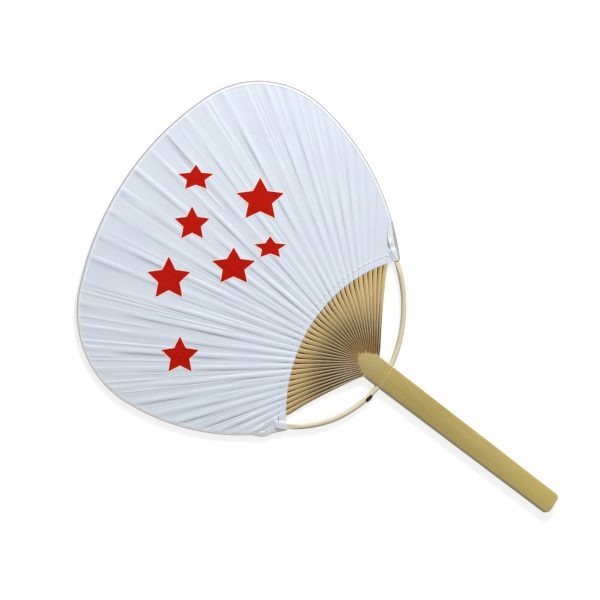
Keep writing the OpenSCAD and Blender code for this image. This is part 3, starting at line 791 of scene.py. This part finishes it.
# Painted shade on the fold's outer edge, darker where the edge looks towards the lamp, to the right and the
# top.
rim_fold_shade = 0.5 + 0.5 * edge_out @ unit(np.array([1.0, 0.7]))
rim_piece = new_piece("rim_strip", rim, shell_faces(rim_rows, rim_cols), ["rim_tape"],
                      {"fold": 1 - inner, "fold_shade": np.broadcast_to(rim_fold_shade[:, None], inner.shape)}, sharp=60)

# %% Corner folds
EAR_COLS = 12
LEFT_EAR, RIGHT_EAR = (15, 5.0), (27, 6.6)
BUMP_AT, BUMP_RUN, BUMP_H = np.array([73.2, 196.8]), np.array([2.6, 3.4]), 0.9
TAB_LEN, TAB_OVER, TAB_ROWS, TAB_COLS = 9.6, 0.3, 24, 8


def ear(side, length, width):
    """A wider piece folded over the rim: its inset grows from the tape's width to its own width and back,
    as the sine of the share of its length, and on the right its inner border stands up by a bump."""
    count = int(length / step_mm)
    take = slice(None, count) if side < 0 else slice(RIM_STATIONS - count, None)
    share = np.linspace(1, 0, count) if side < 0 else np.linspace(0, 1, count)
    reach = TAPE_W * 0.6 + (width - TAPE_W * 0.6) * np.sin(np.pi * (0.04 + 0.9 * share)) ** 0.8
    v = np.concatenate([np.linspace(1, 0.25, EAR_COLS), [0.12]])
    inset = FOLD_IN + (reach[:, None] - FOLD_IN) * v
    on_face = edge[take][:, None] - inset[..., None] * edge_out[take][:, None]
    away = (on_face - BUMP_AT) @ np.array([[0.73, 0.69], [0.69, -0.73]])
    bump = BUMP_H * np.exp(-((away / BUMP_RUN) ** 2).sum(-1)) if side > 0 else 0
    lift = 1.1 * TAPE_T + 0.12 * np.sin(4 * share)[:, None] * v + bump
    return np.stack([folded_over(edge[take], edge_out[take], inset, lift, 0.1, face) for face in (1, 0)])


def tab():
    """A small piece folded over the lower edge by the left corner, from the weaving line over the edge to
    the weaving line on the back. Its rows run along the edge and its columns across it."""
    a = -bearing(corner - edge_c) + np.linspace(0.6, TAB_LEN, TAB_ROWS) / EDGE_R
    here, out = polar(edge_c, EDGE_R, a), -polar([0, 0], 1.0, a)
    inset = np.broadcast_to(np.linspace(WEAVE_R - EDGE_R + 0.4, 0.25, TAB_COLS), (TAB_ROWS, TAB_COLS))
    lift = 1.2 * TAPE_T + 0.1 * np.sin(np.linspace(0, 3, TAB_ROWS))[:, None] * np.ones(TAB_COLS)
    return np.stack([folded_over(here, out, inset, lift, TAB_OVER, face) for face in (1, 0)])


def fold_piece(name, grids, fold_shade, replaced):
    """Several folded sheets as one piece. The fold attribute is 1 on the fold itself and 0 on the faces, and
    the other number sets how dark the painted shade on the fold's edge is.
    """
    points, faces = joined([(grid, shell_faces(*grid.shape[1:3])) for grid, _ in grids])
    folds = []
    for grid, marked in grids:
        on_fold = np.abs(np.arange(grid.shape[2]) - (grid.shape[2] - 1) / 2) < FOLD_STEPS / 2 + 1
        folds.append(np.broadcast_to(on_fold * marked, grid.shape[:3]).ravel())
    return new_piece(name, points, faces, [replaced],
                     {"fold": np.concatenate(folds), "fold_shade": np.full(len(points), fold_shade)}, sharp=60)


# The right fold faces the lamp and gets the darker painted shade on its edge.
left_fold = fold_piece("left_corner_fold", [(ear(-1, *LEFT_EAR), 1), (tab()[:, :, ::-1], 0)], 0.0,
                       "left_corner_patch")
right_fold = fold_piece("right_corner_fold", [(ear(1, *RIGHT_EAR), 1)], 1.0, "right_corner_patch")

# %% [markdown]
# ## Stars
#
# The seven stars are printed. A colour laid on the sheet by its material would do, but the ink lies on the
# paper as a film, so each star is one: rays from its middle to its outline, cut into rings, with the paper's
# height under every point. The outermost ring stays the colour of bare paper.

# %% Stars
STARS = [[28.9, 40.4, 13.1, 8.8], [43.6, 85.9, 17.7, 14.8], [2.7, 55.9, 13.0, 11.6],
         [-36.4, 63.6, 15.9, 14.8], [-3.3, 96.2, 16.1, 12.8], [22.0, 110.0, 12.0, 7.5],
         [-73.2, 99.5, 13.9, 12.7]]
STAR_TURN, STAR_WAIST, HALO = math.radians(-54.5), 0.5, 0.6
PER_EDGE, RINGS = 26, 36
INK_LIFT, INK_STEP, INK_OVER = 0.1, 0.22, 0.2


def star_outline(rx, ry):
    """Ten straight edges between tips at radius 1 and corners at the waist, scaled by half the sizes."""
    a = np.arange(11) * np.pi / 5
    r = np.where(np.arange(11) % 2 == 0, 1, STAR_WAIST)
    tips = np.stack([rx * r * np.sin(a), ry * r * np.cos(a)], -1)
    s = np.arange(PER_EDGE)[:, None, None] / PER_EDGE
    return (tips[:-1] + (tips[1:] - tips[:-1]) * s).transpose(1, 0, 2).reshape(-1, 2)


def star_film(x, down, rx, ry):
    """Rays to the outline in even rings, then one ring beyond it for the halo. The middle is down from the
    top of the head. The thick ink fills the finest creases: its height is the highest nearby."""
    edge = star_outline(rx, ry)
    share = np.linspace(0, 1, RINGS)[:, None, None]
    along = np.roll(edge, -1, 0) - np.roll(edge, 1, 0)
    q = np.concatenate([edge * share, (edge - HALO * across(unit(along)))[None]])
    c, s = math.cos(STAR_TURN), math.sin(STAR_TURN)
    xy = np.stack([q[..., 0] * c - q[..., 1] * s, q[..., 0] * s + q[..., 1] * c], -1) + [x, FAN_LEN - down]
    around = [paper_z(xy + step) for step in INK_STEP * np.array([[0, 0], [1, 0], [-1, 0], [0, 1], [0, -1]])]
    share = np.append(share.ravel(), 1 + HALO)
    return flat(xy, np.max(around, axis=0) + INK_LIFT), np.broadcast_to(share[:, None], xy.shape[:2])


star_parts, star_ink = [], []
for x, down, rx, ry in STARS:
    film, share = star_film(x, down, rx + INK_OVER, ry + INK_OVER)
    rows, cols = film.shape[:2]
    ring = np.arange(cols) + 1
    middle = np.stack([0 * ring, np.roll(ring, -1), ring], -1)
    points = np.concatenate([film[0, :1], film[1:].reshape(-1, 3)])
    star_parts.append((points, [middle, grid_faces(rows - 1, cols, wrap=True) + 1]))
    star_ink += [share[0, :1], share[1:].ravel()]
points, faces = joined(star_parts)
star_piece = new_piece("star_prints", points, faces, ["printed_stars"],
                       {"ink": np.concatenate(star_ink)})

# %% [markdown]
# ## Colours and nodes
#
# Colours are written as the eye reads them, in sRGB hex, and one function turns them to the linear values
# that the shader wants. One more function adds a node with its settings, values and links, and one lays
# coats of colour over each other in turn.

# %% Colour and node helpers
def linear(hexa):
    """sRGB hex to linear: c / 12.92 below 0.04045, and else ((c + 0.055) / 1.055) to the 2.4."""
    c = np.array([int(hexa[i:i + 2], 16) for i in (1, 3, 5)]) / 255
    return (*np.where(c <= 0.04045, c / 12.92, ((c + 0.055) / 1.055) ** 2.4).tolist(), 1.0)


def feed(tree, node, inputs):
    """Each input gets a link from another node's output, or a number, or a colour from its hex."""
    for key, value in inputs.items():
        if isinstance(value, bpy.types.NodeSocket):
            tree.links.new(value, node.inputs[key])
        else:
            node.inputs[key].default_value = linear(value) if isinstance(value, str) else value


def add(tree, kind, inputs=None, out=0, stops=(), **settings):
    """A node of that kind with its settings and inputs, and a ramp's stops as pairs of place and hex. It
    gives back the node's output of that name or number."""
    node = tree.nodes.new("ShaderNode" + kind)
    for key, value in settings.items():
        setattr(node, key, value)
    feed(tree, node, inputs or {})
    if stops:
        while len(node.color_ramp.elements) < len(stops):
            node.color_ramp.elements.new(1.0)
        for element, (place, hexa) in zip(node.color_ramp.elements, stops):
            element.position, element.color = place, linear(hexa)
    return node.outputs[out]


def coated(tree, colour, *coats):
    """A colour with coats laid over it in turn. Each coat is its share, its colour and, if it isn't plainly
    laid over, the way that it mixes."""
    for share, coat, *how in coats:
        colour = add(tree, "Mix", {0: share, 6: colour, 7: coat}, 2, data_type="RGBA",
                     blend_type=how[0] if how else "MIX")
    return colour


def material(name, piece):
    """A fresh material on a piece: its node tree and its Principled shader."""
    made = bpy.data.materials.new(name)
    made.use_nodes = True
    piece.data.materials.clear()
    piece.data.materials.append(made)
    print(f"{name} on {piece.name}")
    return made.node_tree, made.node_tree.nodes["Principled BSDF"]


# %% [markdown]
# ## Bamboo
#
# The handle keeps the stem's skin, satin and straw yellow, worn paler by the head. Where the knife has split
# it, the flesh is paler and matt, and the long fibres show as fine streaks. The colours of both could be
# painted on the mesh, but fibres finer than its points need noise drawn out along the piece. The points only
# carry where there is skin, where a rib begins, how deep in a slot it lies, which sets the painted shade in
# the slots, and each rib's own tone, with painted shade that darkens the ribs on the left and painted light
# that lightens the handle's end.

# %% Split bamboo of the handle and ribs
# A fibre's and a patch's width and length are in millimetres.
BLACK, WHITE = "#000000", "#FFFFFF"
FIBRE_W, FIBRE_L, PATCH_W, PATCH_L = 0.45455, 15.1515, 6.25, 62.5


def fibres(tree, wide, long, detail, roughness=0.5):
    """Noise along a piece, with grains of wide by long millimetres."""
    uv = add(tree, "UVMap", uv_map="along")
    drawn = add(tree, "Mapping", {"Vector": uv, "Scale": (1 / wide, 1 / long, 1)})
    return add(tree, "TexNoise", {"Vector": drawn, "Scale": 1.0, "Detail": detail, "Roughness": roughness})


def bamboo(piece):
    """Split bamboo: satin skin on the face, streaked flesh on every cut side, painted shade in the slots
    between the ribs and pale pith on the sides that look down."""
    tree, shader = material("split_bamboo", piece)
    skin, node, tone_and_shading, warm, is_rib, under, pale = (
        add(tree, "Attribute", out="Fac", attribute_name=key)
        for key in ("skin", "node", "tone_and_shading", "warm", "rib", "under", "pale"))
    fibre, patch = fibres(tree, FIBRE_W, FIBRE_L, 6.0, 0.6), fibres(tree, PATCH_W, PATCH_L, 2.0)
    normal = add(tree, "SeparateXYZ", {"Vector": add(tree, "NewGeometry", out="True Normal")}, "Z")
    down = add(tree, "Math", {0: normal, 1: -1.0}, operation="MULTIPLY")
    below = add(tree, "ValToRGB", {"Fac": down}, stops=[(0.3, BLACK), (0.6, WHITE)])

    # The skin is straw yellow in broad patches with fine lines, and the flesh is paler and streaked.
    patches = add(tree, "ValToRGB", {"Fac": patch},
                  stops=[(0.3, "#AF9B54"), (0.5, "#BBA55A"), (0.72, "#C5AB64")])
    lines = add(tree, "ValToRGB", {"Fac": fibre}, stops=[(0.35, "#A9934F"), (0.7, "#CBB770")])
    # The handle's skin is lightened towards its end by painted light.
    skin_colour = coated(tree, patches, (0.4, lines), (tone_and_shading, "#E0CC78"), (pale, "#BEAF82"))
    flesh = add(tree, "ValToRGB", {"Fac": fibre}, stops=[(0.3, "#C9BC8E"), (0.7, "#E0D6AE")])

    # A rib is warmer and darker near its root, has a bright edge of skin, and carries painted shade down in
    # the slots.
    # Each rib's colour by its tone, which includes the painted shade on the left ribs.
    toned_and_shaded = add(tree, "ValToRGB", {"Fac": tone_and_shading}, stops=[(0.0, "#9C763E"), (0.5, "#BD995D"), (1.0, "#D8BD82")])
    near_root = add(tree, "ValToRGB", {"Fac": is_rib}, stops=[(0.1, WHITE), (1.0, BLACK)])
    streak = add(tree, "ValToRGB", {"Fac": fibre}, stops=[(0.34, "#A88E60"), (0.5, WHITE), (1.0, WHITE)])
    skin_edge = add(tree, "ValToRGB", {"Fac": is_rib}, stops=[(0.05, "#B2925A"), (0.5, "#E2CC94")])
    # Painted shade: the parts of a rib down in the slots are coloured near black, darkest away from the root.
    slot_shade_mask = add(tree, "ValToRGB", {"Fac": under}, stops=[(0.03, BLACK), (0.2, WHITE)])
    painted_slot_shade = add(tree, "ValToRGB", {"Fac": is_rib}, stops=[(0.0, "#7A5228"), (0.55, "#2A1A09")])
    pith = coated(tree, "#C8B27E", (0.6, streak, "MULTIPLY"))
    rib_colour = coated(tree, toned_and_shaded, (warm, "#C2864A"), (near_root, "#A37A45"), (0.5, streak, "MULTIPLY"),
                        (skin, skin_edge), (slot_shade_mask, painted_slot_shade), (below, pith))

    on_rib = add(tree, "ValToRGB", {"Fac": is_rib}, stops=[(0.0, BLACK), (0.03, WHITE)])
    colour = coated(tree, flesh, (skin, skin_colour), (node, "#D8C48C"), (on_rib, rib_colour))
    bump = add(tree, "Bump", {"Height": fibre, "Strength": 0.12, "Distance": 0.4 * MM})
    feed(tree, shader, {"Base Color": colour, "Normal": bump, "Roughness": 0.5, "IOR": 1.5})


bamboo(bamboo_piece)

# %% Scraped bamboo of the bow
BOW_FIBRE_W, BOW_FIBRE_L = 0.3125, 10.0


def scraped(piece):
    """Scraped bamboo: pale flesh with long fibres, matt, and a dark scar."""
    tree, shader = material("scraped_bamboo", piece)
    fibre = fibres(tree, BOW_FIBRE_W, BOW_FIBRE_L, 5.0)
    scar = add(tree, "Attribute", out="Fac", attribute_name="scar")
    flesh = add(tree, "ValToRGB", {"Fac": fibre}, stops=[(0.3, "#D6C9A1"), (0.7, "#E9E0C4")])
    dark = add(tree, "ValToRGB", {"Fac": scar}, stops=[(0.06, BLACK), (0.2, WHITE)])
    bump = add(tree, "Bump", {"Height": fibre, "Strength": 0.15, "Distance": 0.3 * MM})
    feed(tree, shader, {"Base Color": coated(tree, flesh, (dark, "#3A2417")), "Normal": bump,
                        "Roughness": 0.65})


scraped(bow_piece)

# %% [markdown]
# ## Paper
#
# The sheets are long-fibred handmade paper: matt, cool white, faintly cloudy where the pulp lies thicker.
# The relief is already in the mesh, so the material only adds the clouds and the fibres. On the rim and the
# corner folds the outermost edge carries painted shade, darker on the right, where it faces the lamp, and the
# mesh carries where.

# %% Handmade paper
# Clouds are 36 mm across, and the fibres, which are too fine to show, are drawn 2.4 mm apart.
CLOUD, PAPER_FIBRE = 35.714, 2.381


def paper(piece, name, light, shade, fold=False):
    """Clouds of that size between the shade and the light colour, a bump of fibres, and painted shade on the
    folds' outer edge.
    """
    tree, shader = material(name, piece)
    place = add(tree, "TexCoord", out="Object")
    cloud, fibre = (add(tree, "TexNoise", {"Vector": place, "Scale": 1 / (size * MM), **more})
                    for size, more in ((CLOUD, {"Detail": 4.0, "Roughness": 0.6}),
                                       (PAPER_FIBRE, {"Detail": 3.0, "Distortion": 2.5})))
    colour = add(tree, "ValToRGB", {"Fac": cloud}, stops=[(0.35, shade), (0.65, light)])
    if fold:
        edge, fold_shade = (add(tree, "Attribute", out="Fac", attribute_name=key) for key in ("fold", "fold_shade"))
        # Painted shade along the fold's outer edge: a grey that is darker on the side that faces the lamp.
        shaded_fold_mask = add(tree, "ValToRGB", {"Fac": edge}, stops=[(0.30, BLACK), (0.42, WHITE)])
        painted_fold_shade = add(tree, "ValToRGB", {"Fac": fold_shade}, stops=[(0.3, "#E4E0DA"), (0.85, "#B2ADAD")])
        colour = coated(tree, colour, (shaded_fold_mask, painted_fold_shade))
    bump = add(tree, "Bump", {"Height": fibre, "Strength": 0.10, "Distance": 0.3 * MM})
    feed(tree, shader, {"Base Color": colour, "Normal": bump, "Roughness": 0.92,
                        "Specular IOR Level": 0.25})


paper(front_piece, "pasted_paper_front", "#DBE4EC", "#D8DFEB")
paper(back_piece, "pasted_paper_back", "#DBE4EC", "#D8DFEB")
paper(rim_piece, "folded_rim_paper", "#EBEEF4", "#E3E8F0", fold=True)
paper(left_fold, "patch_paper_left", "#E6E8EE", "#DFE3EA", fold=True)
paper(right_fold, "patch_paper_right", "#E4E7EA", "#DDE1E5", fold=True)

# %% [markdown]
# ## Ink and thread
#
# The stars are screen-printed: flat opaque red, matt, with a slight grain, and a rim of bare paper round it.
# The thick ink evens out the paper's relief, so most of its normal is straight up. The thread is twisted
# cotton, off white, and its twist is painted shade: a wave of darker bands drawn as coarse as it needs to
# show.

# %% Screen-printed ink
INK_LEVEL, INK_GRAIN, INK_EDGE = 6.0, 3.3333, 1.003


def ink(piece):
    """Red up to the outline and bare paper beyond it. The normal is the mesh's own plus an upright one."""
    tree, shader = material("screen_print_red", piece)
    share = add(tree, "Attribute", out="Fac", attribute_name="ink")
    place = add(tree, "TexCoord", out="Object")
    grain = add(tree, "TexNoise", {"Vector": place, "Scale": 1 / (INK_GRAIN * MM), "Detail": 2.0})
    red = add(tree, "ValToRGB", {"Fac": grain}, stops=[(0.3, "#BA1507"), (0.7, "#BF180A")])
    beyond = add(tree, "Math", {0: share, 1: INK_EDGE}, operation="GREATER_THAN")
    normal = add(tree, "NewGeometry", out="Normal")
    level = add(tree, "VectorMath", {0: normal, 1: (0.0, 0.0, INK_LEVEL)}, operation="ADD")
    level = add(tree, "VectorMath", {0: level}, operation="NORMALIZE")
    feed(tree, shader, {"Base Color": coated(tree, red, (beyond, "#FFF2EC")), "Normal": level,
                        "Roughness": 0.8, "Specular IOR Level": 0.05})


ink(star_piece)

# %% Twisted cotton
TWIST = 1.1111


def thread(piece):
    """Off-white cotton, with painted shade in the grooves of its twist."""
    tree, shader = material("cotton_thread", piece)
    place = add(tree, "TexCoord", out="Object")
    # Painted shade: darker bands where the twist's grooves would lie.
    twist_groove_shade = add(tree, "TexWave", {"Vector": place, "Scale": 1 / (TWIST * MM), "Distortion": 1.0}, "Fac")
    cotton = add(tree, "ValToRGB", {"Fac": twist_groove_shade}, stops=[(0.2, "#D9D5C8"), (0.8, "#F0EDE4")])
    feed(tree, shader, {"Base Color": cotton, "Roughness": 0.9})


thread(thread_piece)

# %% [markdown]
# ## Floor, light and camera
#
# The fan lies on a white floor. The light is a large soft lamp beyond the top of the picture and a little to
# its right, low enough to draw every crest and near enough to leave the lower left a little darker, and a
# white sky that fills the shade. The camera looks down with a long lens, tilted a little towards the left,
# which is how the picture shows the head narrower than it is. The floor shows white to the camera by a glow
# of its own, so that no more light is needed on the fan, and it keeps the fan's shadow.

# %% Floor
FLOOR_SIZE, FLOOR_GREY, FLOOR_GLOW = 6.0, 0.4, 0.75
floor_mesh = bpy.data.meshes.new("floor")
half = FLOOR_SIZE / 2
floor_corners = [(-half, -half, 0), (half, -half, 0), (half, half, 0), (-half, half, 0)]
floor_mesh.from_pydata(floor_corners, [], [(0, 1, 2, 3)])
floor = bpy.data.objects.new("floor", floor_mesh)
bpy.context.scene.collection.objects.link(floor)
tree, shader = material("white_floor", floor)
feed(tree, shader, {"Base Color": (*[FLOOR_GREY] * 3, 1), "Roughness": 1.0, "Specular IOR Level": 0.0})
seen = add(tree, "LightPath", out="Is Camera Ray")
glow = add(tree, "Emission", {"Strength": seen, "Color": (*[FLOOR_GLOW] * 3, 1)})
both = add(tree, "AddShader", {0: shader.outputs["BSDF"], 1: glow})
feed(tree, tree.nodes["Material Output"], {"Surface": both})

# %% Light
PICTURE_TURN = math.radians(35.5231)
PICTURE_UP = np.array([math.cos(PICTURE_TURN), math.sin(PICTURE_TURN), 0.0])
PICTURE_RIGHT = np.array([math.sin(PICTURE_TURN), -math.cos(PICTURE_TURN), 0.0])
LAMP_TURN, LAMP_HEIGHT, LAMP_AWAY, LAMP_SIZE = math.radians(15), math.radians(33), 1.15, 0.4
LAMP_SHARE, SKY_SHARE = 0.58, 0.39
flat_way = PICTURE_UP * math.cos(LAMP_TURN) + PICTURE_RIGHT * math.sin(LAMP_TURN)
to_lamp = flat_way * math.cos(LAMP_HEIGHT) + np.array([0, 0, math.sin(LAMP_HEIGHT)])
HEAD_MIDDLE = np.array([0, 280.0, 0])
lamp_data = bpy.data.lights.new("lamp", "AREA")
lamp_data.shape = "DISK"
lamp_data.size = LAMP_SIZE
lamp_data.energy = LAMP_SHARE * math.pi ** 2 * LAMP_AWAY ** 2 / math.sin(LAMP_HEIGHT)
lamp = bpy.data.objects.new("lamp", lamp_data)
bpy.context.scene.collection.objects.link(lamp)


def aim(obj, to_viewer, up, place):
    """Puts a lamp or camera at a place, with its own +Z along to_viewer and its +Y nearest to up."""
    z = to_viewer / np.linalg.norm(to_viewer)
    x = np.cross(up, z)
    x /= np.linalg.norm(x)
    turn = np.eye(4)
    turn[:3, :3] = np.stack([x, np.cross(z, x), z], 1)
    turn[:3, 3] = place
    obj.matrix_world = Matrix(turn.tolist())


aim(lamp, to_lamp, PICTURE_RIGHT, to_frame(HEAD_MIDDLE) + LAMP_AWAY * to_lamp)
world = bpy.data.worlds.new("sky")
bpy.context.scene.world = world
world.use_nodes = True
sky = world.node_tree.nodes["Background"]
sky.inputs["Color"].default_value = (1, 1, 1, 1)
sky.inputs["Strength"].default_value = SKY_SHARE
print(f"lamp of {lamp_data.energy:.2f} W, {LAMP_AWAY} m away, under a sky of strength {SKY_SHARE}")

# %% Camera
PIXELS, MM_PER_PIXEL = 600, 0.6617
SQUASH = 1.0719
AIM_AT = np.array([6.24, 225.67, PAPER_T])
DISTANCE = 14.0
tilt = math.acos(1 / SQUASH)
to_camera = -PICTURE_RIGHT * math.sin(tilt) + np.array([0, 0, math.cos(tilt)])
camera_data = bpy.data.cameras.new("camera")
camera_data.sensor_width = 36
camera_data.lens = camera_data.sensor_width * DISTANCE / (PIXELS * MM_PER_PIXEL * MM)
camera_data.clip_end = 2 * DISTANCE
camera = bpy.data.objects.new("camera", camera_data)
bpy.context.scene.collection.objects.link(camera)
aim(camera, to_camera, PICTURE_UP, to_frame(AIM_AT) + DISTANCE * to_camera)
bpy.context.scene.camera = camera
bpy.context.scene.view_settings.view_transform = "Standard"
print(f"lens {camera_data.lens:.0f} mm at {DISTANCE} m, tilt {math.degrees(tilt):.1f} degrees")
